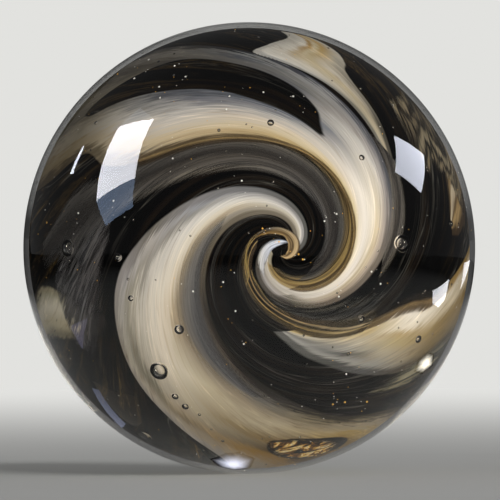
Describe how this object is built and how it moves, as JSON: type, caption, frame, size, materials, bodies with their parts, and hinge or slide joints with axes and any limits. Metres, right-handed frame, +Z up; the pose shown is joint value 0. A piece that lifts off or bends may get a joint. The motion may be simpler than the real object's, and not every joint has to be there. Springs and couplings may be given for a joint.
{
  "type": "glass marble",
  "caption": "Handmade clear glass marble, 38 mm, with a dark core and a twisted vortex of ivory, tan and smoky stripes.",
  "frame": {"origin": "centre of the ball", "axes": "+Z up, -Y out through the eye of the vortex, +X to the right as seen from the front"},
  "size_m": [0.038, 0.038, 0.038],
  "materials": {
    "clear_glass": "polished",
    "dark_glass": "polished",
    "ivory_glass": "polished",
    "tan_glass": "polished",
    "amber_glass": "polished",
    "smoke_glass": "polished"
  },
  "bodies": {
    "root": {"clear_casing": "clear_glass", "dark_core": "dark_glass", "ivory_arm_forked": "ivory_glass", "ivory_arm_broad": "ivory_glass", "ivory_arm_slim": "ivory_glass", "ivory_patch": "ivory_glass", "ivory_band": "ivory_glass", "tan_band": "tan_glass", "amber_thread": "amber_glass", "amber_edge_forked": "amber_glass", "amber_edge_slim": "amber_glass", "window_strand": "amber_glass", "smoke_veil_between": "smoke_glass", "smoke_veil_beside": "smoke_glass", "smoke_patch": "smoke_glass", "eye_curl": "tan_glass"}
  },
  "joints": []
}
